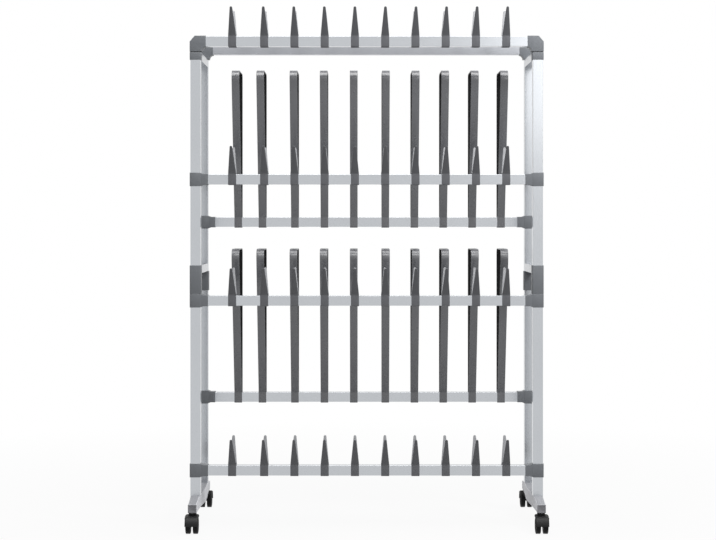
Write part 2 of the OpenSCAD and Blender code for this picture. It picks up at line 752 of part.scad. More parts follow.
lower_post(LEFT, FRONT);  // lower_post_front_left
lower_post(RIGHT, FRONT);  // lower_post_front_right
lower_post(LEFT, REAR);  // lower_post_rear_left
lower_post(RIGHT, REAR);  // lower_post_rear_right
upper_post(LEFT, FRONT);  // upper_post_front_left
upper_post(RIGHT, FRONT);  // upper_post_front_right
upper_post(LEFT, REAR);  // upper_post_rear_left
upper_post(RIGHT, REAR);  // upper_post_rear_right
rail(FRONT, top_rail_z, top_rail_l);  // rail_front_top
rail(FRONT, front_upper_z, rail_l);  // rail_front_upper
rail(FRONT, front_middle_z, rail_l);  // rail_front_middle
rail(FRONT, front_bottom_z, rail_l);  // rail_front_bottom
rail(REAR, top_rail_z, top_rail_l);  // rail_rear_top
rail(REAR, rear_upper_z, rail_l);  // rail_rear_upper
rail(REAR, rear_lower_z, rail_l);  // rail_rear_lower
crossbar(LEFT, top_crossbar_z, top_crossbar_rear_y);  // crossbar_top_left
crossbar(RIGHT, top_crossbar_z, top_crossbar_rear_y);  // crossbar_top_right
crossbar(LEFT, mid_crossbar_z, mid_crossbar_rear_y);  // crossbar_mid_left
crossbar(RIGHT, mid_crossbar_z, mid_crossbar_rear_y);  // crossbar_mid_right
corner_connector(LEFT, FRONT);  // corner_connector_front_left
corner_connector(RIGHT, FRONT);  // corner_connector_front_right
corner_connector(LEFT, REAR);  // corner_connector_rear_left
corner_connector(RIGHT, REAR);  // corner_connector_rear_right
t_connectors(FRONT, front_upper_z);  // t_connectors_front_upper
t_connectors(FRONT, front_middle_z);  // t_connectors_front_middle
t_connectors(FRONT, front_bottom_z);  // t_connectors_front_bottom
t_connectors(REAR, rear_upper_z);  // t_connectors_rear_upper
t_connectors(REAR, rear_lower_z);  // t_connectors_rear_lower
side_connectors_top();
crossbar_plugs_top();
side_connectors_mid(FRONT);  // side_connectors_mid_front
side_connectors_mid(REAR);  // side_connectors_mid_rear
shoe_holders(top_rail_z);  // shoe_holders_top
shoe_holders(front_upper_z);  // shoe_holders_upper
shoe_holders(front_middle_z);  // shoe_holders_middle
shoe_holders(front_bottom_z);  // shoe_holders_bottom
boot_holders(rear_upper_z);  // boot_holders_upper
boot_holders(rear_lower_z);  // boot_holders_lower
foot(LEFT);  // foot_left
foot(RIGHT);  // foot_right
foot_end_plugs();
connector_screws();
castor_stems();
castor_hood(LEFT, FRONT);  // castor_hood_front_left
castor_hood(RIGHT, FRONT);  // castor_hood_front_right
castor_hood(LEFT, REAR);  // castor_hood_rear_left
castor_hood(RIGHT, REAR);  // castor_hood_rear_right
castor_axle(LEFT, FRONT);  // castor_axle_front_left
castor_axle(RIGHT, FRONT);  // castor_axle_front_right
castor_axle(LEFT, REAR);  // castor_axle_rear_left
castor_axle(RIGHT, REAR);  // castor_axle_rear_right
wheel(LEFT, FRONT, 1);  // wheel_front_left_outer
wheel(LEFT, FRONT, -1);  // wheel_front_left_inner
wheel(RIGHT, FRONT, 1);  // wheel_front_right_outer
wheel(RIGHT, FRONT, -1);  // wheel_front_right_inner
wheel(LEFT, REAR, 1);  // wheel_rear_left_outer
wheel(LEFT, REAR, -1);  // wheel_rear_left_inner
wheel(RIGHT, REAR, 1);  // wheel_rear_right_outer
wheel(RIGHT, REAR, -1);  // wheel_rear_right_inner
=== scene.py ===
"""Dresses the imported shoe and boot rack: moulded connectors, holders, feet and castors, and satin tube."""

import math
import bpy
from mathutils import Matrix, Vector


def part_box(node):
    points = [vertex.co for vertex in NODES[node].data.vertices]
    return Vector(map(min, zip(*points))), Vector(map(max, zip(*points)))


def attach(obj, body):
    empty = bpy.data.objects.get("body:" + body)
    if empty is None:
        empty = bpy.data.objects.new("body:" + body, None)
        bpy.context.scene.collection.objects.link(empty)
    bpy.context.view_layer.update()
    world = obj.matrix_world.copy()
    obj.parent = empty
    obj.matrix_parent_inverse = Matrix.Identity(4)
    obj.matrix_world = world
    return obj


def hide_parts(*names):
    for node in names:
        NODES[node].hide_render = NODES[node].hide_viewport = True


bl_info = {
    "name": "Shoe and boot rack",
    "version": (1, 0, 0),
    "blender": (4, 5, 0),
    "location": "3D View > Sidebar > Rack",
    "description": "Builds the rack's moulded pieces, its finishes and a plain studio",
    "category": "Add Mesh",
}

import bmesh
import bpy
import numpy as np
from mathutils import Vector

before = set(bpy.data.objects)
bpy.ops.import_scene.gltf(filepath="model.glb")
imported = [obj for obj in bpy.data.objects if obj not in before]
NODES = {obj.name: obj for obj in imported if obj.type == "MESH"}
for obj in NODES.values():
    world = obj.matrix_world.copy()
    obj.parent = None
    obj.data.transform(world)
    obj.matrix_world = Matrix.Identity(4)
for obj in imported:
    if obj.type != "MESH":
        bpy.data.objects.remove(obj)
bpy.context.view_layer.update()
MM = 0.001
RING = 24  # Points of a rounded rectangle, and so faces of one ring of a sleeve or strip
SHARP_ANGLE = 35  # Degrees above which an edge stays sharp
PHOTO_SIZE = (716, 540)
FOCAL_PX = 1763
HORIZON_PX = 220
CAMERA_PLACE = (-0.0296, -6.167, 1.0488)
SENSOR_MM = 36


# Colours


def linear(hex_colour):
    """The linear colour of an sRGB hex value such as "C0C3C6", with alpha 1."""
    srgb = [int(hex_colour[i:i + 2], 16) / 255 for i in (0, 2, 4)]
    return [c / 12.92 if c <= 0.04045 else ((c + 0.055) / 1.055) ** 2.4 for c in srgb] + [1.0]


# Properties


def length(name, about, default_mm):
    return bpy.props.FloatProperty(name=name, description=about, default=default_mm * MM, min=0.0,
                                   unit="LENGTH", precision=4)


def colour(name, about, hex_colour):
    return bpy.props.FloatVectorProperty(name=name, description=about, default=linear(hex_colour)[:3],
                                         size=3, min=0.0, max=1.0, subtype="COLOR")


class RackSizes(bpy.types.PropertyGroup):
    shoe_width: length("Shoe holder width", "Width of a shoe holder's strip at its rail", 27.5)
    shoe_tip: length("Prong tip width", "Width of a prong at its round tip", 9)
    prong: length("Prong thickness", "Thickness of a prong", 3.2)
    clip: length("Clip thickness", "Thickness of a holder's clip beside the rail", 2.4)
    front_reach: length("Front reach", "Distance from the rail's middle to the front tip", 78)
    rear_reach: length("Rear reach", "Distance from the rail's middle to the rear tip", 58)
    hook: length("Hook width", "How far a clip's hooks reach in under the rail", 3.5)
    hook_strip: length("Hook thickness", "Thickness of a clip's hooks", 1.8)
    boot_width: length("Boot holder width", "Width of a boot holder's strip", 27)
    boot_height: length("Boot holder height", "Height of a boot holder above its rail's middle", 531.5)
    boot_strip: length("Boot strip thickness", "Thickness of a boot holder's strip", 3)
    boot_depth: length("Boot holder depth", "Depth of a boot holder at its top", 196)
    rear_bend: length("Rear bend", "Bend radius at a boot holder's rear top corner", 18)
    front_bend: length("Front bend", "Bend radius at a boot holder's front top corner", 30)
    clearance: length("Clearance", "Gap between a clip or sleeve and the tube in it", 0.15)
    soft_edge: length("Moulded edge", "Radius of a moulding's edges", 0.9)


class RackColours(bpy.types.PropertyGroup):
    tube: colour("Tube", "Anodised aluminium tube", "BEC1C5")
    # Painted shade: the rear top rail is the same tube, given a darker colour where it sits in shade
    rear: colour("Rear top rail", "Anodised aluminium of the rear top rail", "B3B5BA")
    # Painted shade: the crossbars are the same tube, given a darker colour where they sit in shade
    crossbar: colour("Crossbar", "Anodised aluminium of the crossbars", "A5A8AD")
    connector: colour("Connector", "Moulded connectors", "5D6064")
    plug: colour("Plug", "Moulded plugs in the feet's ends", "717175")
    # Painted shade: near-black colour for the gap between the corner and side connectors
    gasket: colour("Gasket", "Rubber between the corner and side connectors", "0A0A0B")
    holder: colour("Holder", "Moulded holders", "56575B")
    # Painted shade: darker colour for the downward-tilted fronts of the front prongs; the boot loops take it as
    # their own colour
    outer: colour("Front prong outside", "Outer faces of the shoe holders' front prongs", "4A4B4F")
    # Painted shade: near-black colour for the boot holders' shaded inner faces
    inside: colour("Boot holder inside", "Inner faces of the boot holders", "0C0C0D")
    # Painted light: paler colour for the upward-tilted front sides of the rear prongs
    inner: colour("Rear prong inside", "Inner faces of the shoe holders' rear prongs", "78797C")
    foot: colour("Foot", "Moulded feet", "BBBCC1")
    # Painted shade: darker colour for the feet's up-facing backs; the coarser grain there is real
    back: colour("Foot's back", "Textured backs of the feet", "838488")
    castor: colour("Castor", "Castor hoods", "0B0B0C")
    tyre: colour("Wheel", "Castor wheels", "060607")
    steel: colour("Steel", "Zinc-plated screws, stems and axles", "B0B1B3")


# Materials


def add(tree, kind, links=(), **settings):
    """Adds a node, sets its properties and sockets by name, and links (socket, input name) pairs to it."""
    node = tree.nodes.new(kind)
    for key, value in settings.items():
        if key in node.bl_rna.properties:
            setattr(node, key, value)
        else:
            node.inputs[key.replace("_", " ")].default_value = value
    for source, name in links:
        tree.links.new(source, node.inputs[name])
    return node


def new_material(name):
    material = bpy.data.materials.new(name)
    material.use_nodes = True
    tree = material.node_tree
    tree.nodes.clear()
    shader = add(tree, "ShaderNodeBsdfPrincipled")
    output = add(tree, "ShaderNodeOutputMaterial")
    tree.links.new(shader.outputs[0], output.inputs["Surface"])
    return material, tree, shader


def toned(tree, colour_value, mask, low, high):
    """The colour, between low and high times as bright where mask goes from 0 to 1."""
    ramp = add(tree, "ShaderNodeMapRange", [(mask, "Value")], To_Min=low, To_Max=high)
    rgb = add(tree, "ShaderNodeVectorMath", operation="SCALE")
    rgb.inputs[0].default_value = list(colour_value)[:3]
    tree.links.new(ramp.outputs[0], rgb.inputs["Scale"])
    return rgb.outputs[0]


def anodised_aluminium(name, axis, coat, roughness):
    """Extruded and satin anodised aluminium: fine die lines along the tube, a soft even sheen."""
    material, tree, shader = new_material(name)
    # Die lines: 0.5 mm apart across the tube and about 600 mm long, coarser than real so that they show
    across, along = 1 / (0.5 * MM), 1 / (600 * MM)
    scale = [along if a == axis else across for a in "xyz"]
    place = add(tree, "ShaderNodeTexCoord")
    stretched = add(tree, "ShaderNodeMapping", [(place.outputs["Object"], "Vector")], Scale=scale)
    lines = add(tree, "ShaderNodeTexNoise", [(stretched.outputs[0], "Vector")], Scale=1.0, Detail=3.0)
    # Clouds of 120 mm in the anodising
    clouds = add(tree, "ShaderNodeTexNoise", [(place.outputs["Object"], "Vector")], Scale=1 / (120 * MM),
                 Detail=2.0)
    tree.links.new(toned(tree, coat, clouds.outputs[0], 0.97, 1.03), shader.inputs["Base Color"])
    sheen = add(tree, "ShaderNodeMapRange", [(lines.outputs[0], "Value")], To_Min=roughness,
                To_Max=roughness + 0.07)
    tree.links.new(sheen.outputs[0], shader.inputs["Roughness"])
    bump = add(tree, "ShaderNodeBump", [(lines.outputs[0], "Height")], Strength=0.12, Distance=0.02 * MM)
    tree.links.new(bump.outputs[0], shader.inputs["Normal"])
    shader.inputs["Metallic"].default_value = 1.0
    return material


def moulded_plastic(name, colour_value, roughness, grain_mm, depth_mm, tone, ior):
    """Injection-moulded plastic with a spark-eroded grain: matt, with a fine pebbled surface."""
    material, tree, shader = new_material(name)
    place = add(tree, "ShaderNodeTexCoord")
    grain = add(tree, "ShaderNodeTexVoronoi", [(place.outputs["Object"], "Vector")],
                Scale=1 / (grain_mm * MM), feature="SMOOTH_F1", Smoothness=0.6)
    flow = add(tree, "ShaderNodeTexNoise", [(place.outputs["Object"], "Vector")], Scale=1 / (45 * MM),
               Detail=3.0)
    tree.links.new(toned(tree, colour_value, flow.outputs[0], 1 - tone, 1 + tone),
                   shader.inputs["Base Color"])
    rough = add(tree, "ShaderNodeMapRange", [(flow.outputs[0], "Value")], To_Min=roughness - 0.06,
                To_Max=roughness + 0.06)
    tree.links.new(rough.outputs[0], shader.inputs["Roughness"])
    bump = add(tree, "ShaderNodeBump", [(grain.outputs["Distance"], "Height")], Strength=0.25,
               Distance=depth_mm * MM)
    tree.links.new(bump.outputs[0], shader.inputs["Normal"])
    shader.inputs["IOR"].default_value = ior
    return material


def zinc_plate():
    """Zinc-plated steel: bright and slightly cloudy, with a fine crystalline bloom."""
    colours = bpy.context.scene.rack_colours
    material, tree, shader = new_material("zinc_plated_steel")
    place = add(tree, "ShaderNodeTexCoord")
    bloom = add(tree, "ShaderNodeTexNoise", [(place.outputs["Object"], "Vector")], Scale=1 / (4 * MM),
                Detail=4.0)
    tree.links.new(toned(tree, colours.steel, bloom.outputs[0], 0.85, 1.1), shader.inputs["Base Color"])
    rough = add(tree, "ShaderNodeMapRange", [(bloom.outputs[0], "Value")], To_Min=0.25, To_Max=0.42)
    tree.links.new(rough.outputs[0], shader.inputs["Roughness"])
    shader.inputs["Metallic"].default_value = 1.0
    return material


# Each moulding's material and colour, then its roughness, grain and grain depth in mm, tone and IOR. IORs other
# than 1.5 are matched to the photo and not to the plastic: low on dark parts, and 1.8 for the loops' bright tops.
PLASTICS = {
    "connector": ("moulded_abs_connector", "connector", 0.42, 0.9, 0.05, 0.04, 1.5),
    "plug": ("moulded_abs_plug", "plug", 0.42, 0.9, 0.05, 0.04, 1.5),
    # Painted shade for the gap over the top side connectors
    "gasket": ("rubber_gasket", "gasket", 0.6, 1.0, 0.02, 0.05, 1.3),
    "holder": ("moulded_nylon_holder", "holder", 0.34, 1.2, 0.04, 0.06, 1.5),
    "loop": ("moulded_nylon_loop", "outer", 0.27, 1.2, 0.04, 0.06, 1.8),
    # Painted shade on the boot holders' inner faces
    "holder_inside": ("moulded_nylon_inside", "inside", 0.5, 1.2, 0.04, 0.06, 1.28),
    # Painted shade on the front prongs' fronts, and painted light on the rear prongs' fronts
    "prong_outside": ("moulded_nylon_outside", "outer", 0.34, 1.2, 0.04, 0.06, 1.5),
    "prong_inside": ("moulded_nylon_pale", "inner", 0.34, 1.2, 0.04, 0.06, 1.5),
    "foot": ("moulded_abs_foot", "foot", 0.42, 0.9, 0.03, 0.04, 1.5),
    # Painted shade on the feet's up-facing backs, with a real coarser grain
    "foot_back": ("moulded_abs_foot_back", "back", 0.45, 1.6, 0.06, 0.04, 1.5),
    "castor": ("moulded_nylon_castor", "castor", 0.45, 1.0, 0.05, 0.04, 1.33),
    "tyre": ("moulded_nylon_wheel", "tyre", 0.5, 1.4, 0.08, 0.04, 1.25),
}
# Each tube's material, the axis it runs along, its colour and its roughness
TUBES = {
    "tube_x": ("anodised_aluminium_x", "x", "tube", 0.17),
    # The rear top rail's darker colour is painted shade
    "tube_rear": ("anodised_aluminium_rear", "x", "rear", 0.27),
    # The crossbars' darker colour is painted shade
    "tube_y": ("anodised_aluminium_y", "y", "crossbar", 0.17),
    "tube_z": ("anodised_aluminium_z", "z", "tube", 0.17),
}


def finish_of(kind):
    """The material of that kind, made once."""
    colours = bpy.context.scene.rack_colours
    if kind in PLASTICS:
        name, shade, *numbers = PLASTICS[kind]
        return bpy.data.materials.get(name) or moulded_plastic(name, getattr(colours, shade), *numbers)
    if kind in TUBES:
        name, axis, shade, roughness = TUBES[kind]
        return bpy.data.materials.get(name) or anodised_aluminium(name, axis, getattr(colours, shade), roughness)
    return bpy.data.materials.get("zinc_plated_steel") or zinc_plate()


def paint(node, kind):
    """Gives a carried-over CAD node that finish."""
    slots = NODES[node].data.materials
    slots.clear()
    slots.append(finish_of(kind))


# Shapes


def rounded_rect(width, height, radius, steps=5):
    """Counter-clockwise outline of a rectangle about the origin: each corner is a quarter circle of that
    radius, in steps equal angles, about a centre that lies one radius in from both sides."""
    angle = np.radians(np.add.outer([0, 90, 180, 270], np.linspace(0, 90, steps + 1))).ravel()
    sx = np.repeat([1, -1, -1, 1], steps + 1)
    sy = np.repeat([1, 1, -1, -1], steps + 1)
    return np.stack([sx * (width / 2 - radius) + radius * np.cos(angle),
                     sy * (height / 2 - radius) + radius * np.sin(angle)], axis=1)


def inset(outline, distance):
    """The outline moved in by distance: each corner moves along the sum of its two edges' outward normals,
    over one plus their dot product."""
    before = outline - np.roll(outline, 1, axis=0)
    after = np.roll(outline, -1, axis=0) - outline
    n1 = np.stack([before[:, 1], -before[:, 0]], axis=1) / np.linalg.norm(before, axis=1)[:, None]
    n2 = np.stack([after[:, 1], -after[:, 0]], axis=1) / np.linalg.norm(after, axis=1)[:, None]
    return outline - distance * (n1 + n2) / (1 + (n1 * n2).sum(axis=1))[:, None]


def loft(rings, wrap=False):
    """Vertices and faces of the surface through rings, an array of m rings of n points: quads between
    neighbours, and a flat cap on each end unless the last ring wraps back to the first."""
    m, n = rings.shape[:2]
    i = np.arange(m if wrap else m - 1)[:, None]
    j = np.arange(n)[None, :]
    k = (i + 1) % m
    l = (j + 1) % n
    quads = np.stack([i * n + j, i * n + l, k * n + l, k * n + j], axis=2).reshape(-1, 4)
    faces = [tuple(q) for q in quads.tolist()]
    if not wrap:
        faces.append(tuple(range(n - 1, -1, -1)))
        faces.append(tuple(range((m - 1) * n, m * n)))
    return rings.reshape(-1, 3), faces


def edge_rounding(radius, steps=3):
    """Pairs (height, inset) up a quarter circle of that radius, from a flat end to a straight side."""
    a = np.linspace(0, math.pi / 2, steps + 1)
    return [(radius * (1 - math.cos(t)), radius * (1 - math.sin(t))) for t in a]


def slab(outline, low, high, edge):
    """A counter-clockwise outline in X and Z carried along Y from high to low, with both edges rounded."""
    ends = edge_rounding(edge)
    stations = [(high - h, d) for h, d in ends] + [(low + h, d) for h, d in reversed(ends)]
    rings = []
    for y, d in stations:
        flat = inset(outline, d)
        rings.append(np.stack([flat[:, 0], np.full(len(flat), y), flat[:, 1]], axis=1))
    return loft(np.array(rings))


def sleeve(width, bore, corner, low, high, edge, reveal=0.0):
    """A square sleeve about the Z axis: an outer rounded square from low to high with rounded rims, joined
    to a square bore. A reveal sets its top that far down, round a neck that goes on up."""
    ends = edge_rounding(edge)
    top = high - reveal
    outer = [(low + h, width - 2 * d) for h, d in ends]
    outer += [(top - h, width - 2 * d) for h, d in reversed(ends)]
    if reveal:
        neck = width - 3 * MM
        outer += [(top, neck), (high, neck)]
    rings = []
    for z, w in outer + [(high, bore), (low, bore)]:
        r = corner if w > bore else max(corner - (width - bore) / 2, 0.4 * MM)
        flat = rounded_rect(w, w, r)
        rings.append(np.column_stack([flat, np.full(len(flat), z)]))
    return loft(np.array(rings), wrap=True)


def rounded_path(corners, radii, steps=6, closed=False):
    """Points of a line through corners, each rounded by an arc that touches both of its sides."""
    points = []
    count = len(corners)
    for i, q in enumerate(corners):
        if not closed and i in (0, count - 1):
            points.append(q)
            continue
        p, r = corners[i - 1], corners[(i + 1) % count]
        u1, u2 = (q - p) / np.linalg.norm(q - p), (r - q) / np.linalg.norm(r - q)
        side = 1.0 if u1[0] * u2[1] - u1[1] * u2[0] > 0 else -1.0
        turn = math.acos(max(-1.0, min(1.0, float(u1 @ u2))))
        start = q - u1 * radii[i] * math.tan(turn / 2)
        centre = start + side * radii[i] * np.array([-u1[1], u1[0]])
        a = side * np.linspace(0, turn, steps + 1)
        arm = start - centre
        points.extend(np.stack([centre[0] + arm[0] * np.cos(a) - arm[1] * np.sin(a),
                                centre[1] + arm[0] * np.sin(a) + arm[1] * np.cos(a)], axis=1))
    return np.array(points)


def strip(path, widths, thickness, closed=False):
    """A flat strip along a path in Y and Z: at each point a rounded rectangle, as wide along X as widths
    says and as thick across the path as thickness says."""
    ahead = np.roll(path, -1, axis=0) - path
    behind = path - np.roll(path, 1, axis=0)
    if not closed:
        ahead[-1], behind[0] = behind[-1], ahead[0]
    ahead /= np.linalg.norm(ahead, axis=1)[:, None]
    behind /= np.linalg.norm(behind, axis=1)[:, None]
    normal = np.stack([-(ahead + behind)[:, 1], (ahead + behind)[:, 0]], axis=1)
    normal /= (1 + (ahead * behind).sum(axis=1))[:, None]
    rings = []
    for (y, z), n, w, t in zip(path, normal, widths, thickness):
        flat = rounded_rect(w, t, min(0.3 * w, 0.42 * t))
        rings.append(np.stack([flat[:, 0], y + n[0] * flat[:, 1], z + n[1] * flat[:, 1]], axis=1))
    return loft(np.array(rings), wrap=closed)


def joined(parts):
    """Several (vertices, faces) shapes as one."""
    verts, faces, first = [], [], 0
    for v, f in parts:
        verts.append(v)
        faces.extend(tuple(i + first for i in face) for face in f)
        first += len(v)
    return np.concatenate(verts), faces


def moved(shape, x=0.0, y=0.0, z=0.0, flip_x=False, flip_y=False):
    """The shape mirrored if asked, with its faces still outwards, and then moved."""
    v, f = shape
    v = v * np.array([-1 if flip_x else 1, -1 if flip_y else 1, 1]) + np.array([x, y, z])
    return v, [face[::-1] for face in f] if flip_x != flip_y else f


def solids(node):
    """Lowest and highest corner of each solid in a CAD node, and its points."""
    mesh = bmesh.new()
    mesh.from_mesh(NODES[node].data)
    bmesh.ops.remove_doubles(mesh, verts=mesh.verts, dist=1e-6)
    left, found = set(mesh.verts), []
    while left:
        stack, part = [left.pop()], []
        while stack:
            v = stack.pop()
            part.append(v.co[:])
            for e in v.link_edges:
                o = e.other_vert(v)
                if o in left:
                    left.remove(o)
                    stack.append(o)
        p = np.array(part)
        found.append((p.min(axis=0), p.max(axis=0), p))
    mesh.free()
    return sorted(found, key=lambda s: tuple(s[0]))


def piece(name, shape, kind, slot, body, *nodes):
    """A shown piece in place of CAD nodes, with smooth shading up to its sharp edges."""
    verts, faces = shape
    mesh = bpy.data.meshes.new(name)
    mesh.from_pydata(verts.tolist(), [], faces)
    mesh.validate()
    bm = bmesh.new()
    bm.from_mesh(mesh)
    bmesh.ops.recalc_face_normals(bm, faces=bm.faces)
    bm.to_mesh(mesh)
    bm.free()
    mesh.shade_smooth()
    mesh.set_sharp_from_angle(angle=math.radians(SHARP_ANGLE))
    made = bpy.data.objects.new(name, mesh)
    bpy.context.scene.collection.objects.link(made)
    mesh.materials.append(finish_of(kind))
    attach(made, body)
    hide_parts(*nodes)
    return made


def middle(node):
    low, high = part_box(node)
    return (np.array(low) + np.array(high)) / 2


# Operators


class RACK_OT_tubes(bpy.types.Operator):
    """Finish the posts, rails and crossbars as satin anodised tube"""

    bl_idname = "rack.tubes"
    bl_label = "Tubes"

    def execute(self, context):
        for node in NODES:
            if "post_" in node:
                paint(node, "tube_z")
            elif node.startswith("rail_"):
                paint(node, "tube_rear" if node == "rail_rear_top" else "tube_x")
            elif node.startswith("crossbar_") and "plugs" not in node:
                paint(node, "tube_y")
        return {"FINISHED"}


class RACK_OT_connectors(bpy.types.Operator):
    """Mould the corner, T and side connectors"""

    bl_idname = "rack.connectors"
    bl_label = "Connectors"

    CORNER = 3 * MM  # Radius of a sleeve's upright edges
    REVEAL = 2.2 * MM  # Height of the gap over a top side connector, whose ledge and neck get a near-black colour as painted shade
    SLOPE_IN, SLOPE_OUT = 4 * MM, 7.5 * MM  # The slope's reach inside and outside the sleeve's side
    ARM_WALL = 1.7 * MM
    ROOT_IN = 2.4 * MM  # How far an arm starts inside the sleeve's side
    WEB, DROP = 41.5 * MM, 15.5 * MM  # Width of a corner's foot, and height of the arc under its arm
    CUT_WIDTH, CUT_HEIGHT = 17 * MM, 20 * MM  # The slope over the outer corner

    def execute(self, context):
        sizes = context.scene.rack_sizes
        edge = sizes.soft_edge
        paint("crossbar_plugs_top", "connector")
        tube = (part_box("lower_post_front_left")[1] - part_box("lower_post_front_left")[0]).x
        bore = tube + 2 * sizes.clearance
        for node in [n for n in NODES if n.startswith("t_connectors")]:
            rail_z = middle(node)[2]
            parts = []
            for low, high, _ in solids(node):
                side = -1 if low[0] < 0 else 1
                wide = high[1] - low[1]
                post = (low[0] + wide / 2) if side < 0 else (high[0] - wide / 2)
                y = (low[1] + high[1]) / 2
                tall = high[2] - low[2]
                body = self.sloped(sleeve(wide, bore, self.CORNER, -tall / 2, tall / 2, edge), wide, bore, tall)
                arm = self.arm(wide, bore, high[0] - low[0] - wide / 2, tall, edge)
                parts.append(moved(body, x=post, y=y, z=rail_z, flip_x=side > 0))
                parts.append(moved(arm, x=post, y=y, z=rail_z, flip_x=side > 0))
            piece(node.replace("t_connectors", "t_connector_mouldings"), joined(parts), "connector",
                  "connector", "rack", node)
        for node in [n for n in NODES if n.startswith("corner_connector")]:
            low, high = (np.array(c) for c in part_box(node))
            side = -1 if low[0] < 0 else 1
            shape = slab(self.corner_outline(high - low), low[1], high[1], edge)
            piece(node.replace("connector", "moulding"),
                  moved(shape, x=low[0] if side < 0 else high[0], z=low[2], flip_x=side > 0),
                  "connector", "connector", "rack", node)
        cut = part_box("crossbar_mid_left")[0].z
        for node in ("side_connectors_top", "side_connectors_mid_front", "side_connectors_mid_rear"):
            parts = []
            for low, high, _ in solids(node):
                wide = high[0] - low[0]
                front = low[1] < 0
                x, y = (low[0] + high[0]) / 2, low[1] + wide / 2 if front else high[1] - wide / 2
                top = node == "side_connectors_top"
                tip = high[2] if front else cut
                reveal = self.REVEAL if top else 0.0
                parts.append(moved(sleeve(wide, bore, self.CORNER, low[2], tip, edge, reveal), x=x, y=y))
                if not front:
                    parts.append(moved(self.channel(wide, bore, tip, high[2], edge), x=x, y=y, flip_x=x > 0))
            made = piece(node.replace("connectors", "mouldings"), joined(parts), "connector", "connector",
                         "rack", node)
            if top:
                self.gasket(made, len(parts))
        return {"FINISHED"}

    def sloped(self, shape, wide, bore, tall):
        """The sleeve with its ends sloped down towards the arm, as far as the slope's line has fallen."""
        v, faces = shape
        start, end, fall = self.slope(wide, bore, tall)
        share = np.clip((v[:, 0] - start) / (end - start), 0, 1)
        v = v.copy()
        v[:, 2] -= np.sign(v[:, 2]) * share * fall
        return v, faces

    def slope(self, wide, bore, tall):
        """Where the slope starts and ends along X, and how far it falls on each side."""
        return wide / 2 - self.SLOPE_IN, wide / 2 + self.SLOPE_OUT, (tall - self.arm_width(bore)) / 2

    def arm_width(self, bore):
        return bore + 2 * self.ARM_WALL

    def channel(self, wide, bore, low, high, edge):
        """A sleeve's upper part without its wall at +X: the outline of three walls, carried up along Z."""
        open_x, w, b = bore / 2 - 1.1 * MM, wide / 2, bore / 2
        corners = np.array([[open_x, -w], [open_x, -b], [-b, -b], [-b, b], [open_x, b], [open_x, w], [-w, w],
                            [-w, -w]])
        outline = rounded_path(corners[::-1], [self.CORNER] * 2 + [0.4 * MM] * 6, steps=4, closed=True)
        v, faces = slab(outline, low, high, 0.6 * edge)
        return v[:, [0, 2, 1]], faces

    def gasket(self, made, count):
        """Gives the ledge and the neck above each sleeve a near-black colour as painted shade in the gap."""
        made.data.materials.append(finish_of("gasket"))
        index = np.arange(len(made.data.polygons)) // RING
        rings = len(made.data.polygons) // RING // count
        # Two rings of faces near each sleeve's top, the gap's ledge and neck, take the painted shade
        dark = (index % rings >= rings - 5) & (index % rings < rings - 3)
        made.data.polygons.foreach_set("material_index", dark.astype(np.int32))

    def arm(self, wide, bore, reach, height, edge):
        """The arm from the sleeve's middle to its end: square, with a slope above and below that falls from
        the sleeve's height to the arm's, and a bore for the rail."""
        arm_wide = self.arm_width(bore)
        start, end, fall = self.slope(wide, bore, height)
        root = wide / 2 - self.ROOT_IN
        outer = [(root, arm_wide, height - 2 * fall * (root - start) / (end - start) - 0.4 * MM),
                 (end, arm_wide, arm_wide)]
        outer += [(reach - h, arm_wide - 2 * d, arm_wide - 2 * d) for h, d in reversed(edge_rounding(edge))]
        outer += [(reach, bore, bore), (root, bore, bore)]
        rings = []
        for x, w, h in outer:
            flat = rounded_rect(w, h, 1.2 * MM)
            rings.append(np.column_stack([np.full(len(flat), x), flat]))
        return loft(np.array(rings), wrap=True)

    def corner_outline(self, span):
        """Outline in X and Z from the outer bottom corner: a concave quarter arc under the arm, the arm's
        end, the flat top and a slope over the outer corner."""
        a = np.linspace(0, math.pi / 2, 9)
        arc = np.stack([span[0] - (span[0] - self.WEB) * np.cos(a), self.DROP * np.sin(a)], axis=1)
        return np.concatenate([[[0, 0]], arc, [[span[0], span[2]], [self.CUT_WIDTH, span[2]],
                                               [0, span[2] - self.CUT_HEIGHT]]])


class RACK_OT_screws(bpy.types.Operator):
    """Make the countersunk screws with hexagon sockets"""

    bl_idname = "rack.screws"
    bl_label = "Screws"

    def execute(self, context):
        parts = []
        for low, high, points in solids("connector_screws"):
            axis = int(np.argmax(high - low))
            centre = (low + high) / 2
            others = [a for a in range(3) if a != axis]
            far = np.abs(points[:, others] - centre[others]).max(axis=1)
            top = points[np.argmax(far), axis] > centre[axis]
            end = high[axis] if top else low[axis]
            shape, faces = self.head(1 if top else -1)
            placed = np.zeros_like(shape)
            placed[:, others[0]], placed[:, others[1]] = shape[:, 0], shape[:, 1]
            placed[:, axis] = shape[:, 2] + end
            placed[:, others] += centre[others]
            parts.append((placed, faces))
        piece("socket_screws", joined(parts), "steel", "screw", "rack", "connector_screws")
        return {"FINISHED"}

    def head(self, way):
        """Rings from the shank to the rim, over a slight crown and down into a hexagon socket."""
        a = np.radians(np.arange(0, 360, 15))
        circle = np.stack([np.cos(a), np.sin(a)], axis=1)
        hexagon = circle * (math.cos(math.pi / 6) / np.cos((a % (math.pi / 3)) - math.pi / 6))[:, None]
        rows = [(circle, 1.7, -9.5), (circle, 1.7, -1.5), (circle, 3.1, -0.1), (circle, 3.1, 0.05),
                (circle, 2.7, 0.2), (hexagon, 1.35, 0.25), (hexagon, 1.3, -1.0)]
        return loft(np.array([np.column_stack([s * r * MM, np.full(len(s), way * z * MM)])
                              for s, r, z in rows]))


